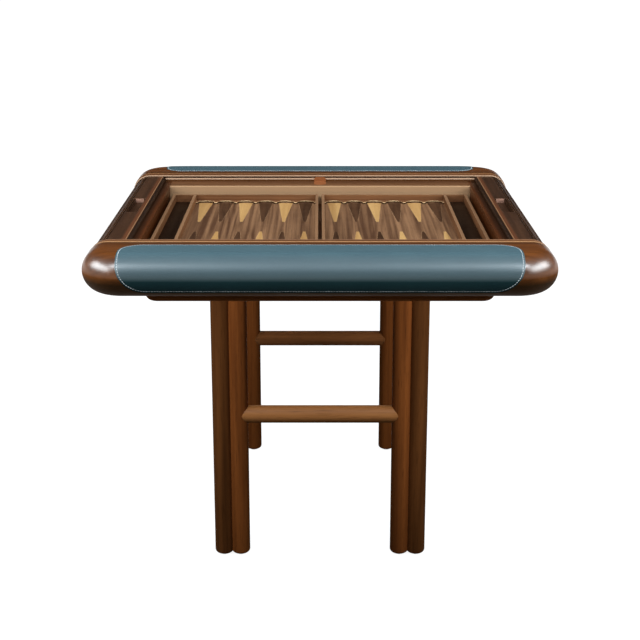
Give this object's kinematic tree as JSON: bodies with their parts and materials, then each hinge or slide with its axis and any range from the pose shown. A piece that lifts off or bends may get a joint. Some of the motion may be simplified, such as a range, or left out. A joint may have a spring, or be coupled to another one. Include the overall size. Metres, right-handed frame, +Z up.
{
  "type": "backgammon table",
  "caption": "Walnut games table with a sunk backgammon field in two trays, leather armrests, slatted shutters that close over it, and paired round legs.",
  "frame": {"origin": "on the floor, under the middle of the table", "axes": "+Z up, +X to the right along the armrests, +Y away from the front player"},
  "size_m": [1, 1.1, 0.76],
  "materials": {
    "walnut": "gloss",
    "walnut_dark": "satin",
    "walnut_leg": "satin",
    "walnut_inner": "satin",
    "walnut_tray": "satin",
    "cherry": "satin",
    "maple": "satin",
    "wenge": "satin",
    "leather": "matte",
    "cloth": "matte",
    "steel": "satin",
    "brass": "satin",
    "glide": "matte"
  },
  "bodies": {
    "table": {"front_armrest": "walnut", "rear_armrest": "walnut", "front_side_board": "walnut", "rear_side_board": "walnut", "left_nose_slats": "walnut_dark", "right_nose_slats": "walnut_dark", "left_hidden_slats": "walnut_dark", "right_hidden_slats": "walnut_dark", "under_plate": "walnut_leg", "front_stretcher": "walnut_leg", "rear_stretcher": "walnut_leg", "front_left_outer_column": "walnut_leg", "front_left_inner_column": "walnut_leg", "front_right_outer_column": "walnut_leg", "front_right_inner_column": "walnut_leg", "rear_left_outer_column": "walnut_leg", "rear_left_inner_column": "walnut_leg", "rear_right_outer_column": "walnut_leg", "rear_right_inner_column": "walnut_leg", "front_ledge": "walnut_inner", "rear_ledge": "walnut_inner", "front_well_wall": "walnut_inner", "rear_well_wall": "walnut_inner", "left_end_core": "walnut_inner", "right_end_core": "walnut_inner", "well_floor": "walnut_inner", "front_stop": "cherry", "rear_stop": "cherry", "left_tray_base": "walnut_tray", "right_tray_base": "walnut_tray", "left_tray_front_wall": "walnut_tray", "left_tray_rear_wall": "walnut_tray", "left_tray_outer_wall": "walnut_tray", "left_tray_inner_wall": "walnut_tray", "right_tray_front_wall": "walnut_tray", "right_tray_rear_wall": "walnut_tray", "right_tray_outer_wall": "walnut_tray", "right_tray_inner_wall": "walnut_tray", "left_tray_divider": "walnut_tray", "right_tray_divider": "walnut_tray", "left_front_nest_strip": "walnut_tray", "left_rear_nest_strip": "walnut_tray", "right_front_nest_strip": "walnut_tray", "right_rear_nest_strip": "walnut_tray", "left_light_points": "maple", "right_light_points": "maple", "left_dark_points": "wenge", "right_dark_points": "wenge", "front_leather": "leather", "rear_leather": "leather", "left_shutter_cloth": "cloth", "right_shutter_cloth": "cloth", "column_studs": "steel", "plate_screws": "brass", "foot_glides": "glide"},
    "left_shutter": {"left_lead_rail": "walnut_dark"},
    "right_shutter": {"right_lead_rail": "walnut_dark"}
  },
  "joints": [
    {"name": "left_shutter_slide", "type": "slide", "parent": "table", "child": "left_shutter", "axis": [1, 0, 0], "range_m": [0, 0.4115]},
    {"name": "right_shutter_slide", "type": "slide", "parent": "table", "child": "right_shutter", "axis": [-1, 0, 0], "range_m": [0, 0.4115]}
  ]
}
